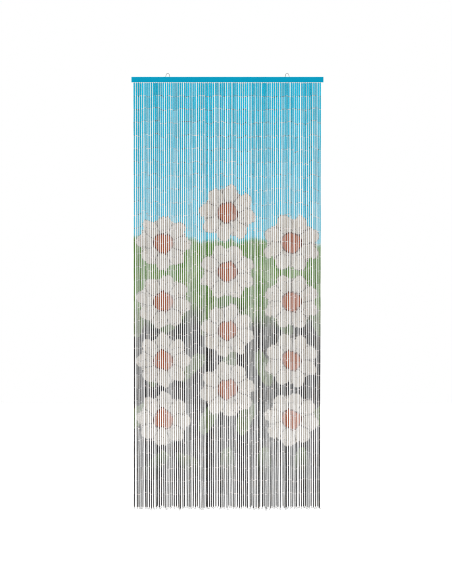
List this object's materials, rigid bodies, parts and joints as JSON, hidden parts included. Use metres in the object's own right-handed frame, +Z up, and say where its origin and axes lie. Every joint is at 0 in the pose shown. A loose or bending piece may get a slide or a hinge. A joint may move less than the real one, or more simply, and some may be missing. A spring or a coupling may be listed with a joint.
{
  "type": "bamboo bead door curtain with head rail",
  "caption": "Door curtain of printed bamboo tube strands hanging from a painted wooden head rail with wire hanging loops.",
  "frame": {"origin": "midway between the two hanging loops, on the line where their inner tops bear on the hooks", "axes": "+Z up along the hanging strands, +X along the head rail, the printed front faces -Y"},
  "size_m": [0.9, 0.012, 2.0518],
  "materials": {
    "rail_paint": "painted wood, satin",
    "printed_bamboo": "printed paint on split-grained bamboo tube, satin",
    "steel_wire": "drawn zinc-plated wire"
  },
  "bodies": {
    "root": {"head_rail": "rail_paint", "strands": "printed_bamboo", "hanging_loop_left": "steel_wire", "hanging_loop_right": "steel_wire"}
  },
  "joints": []
}
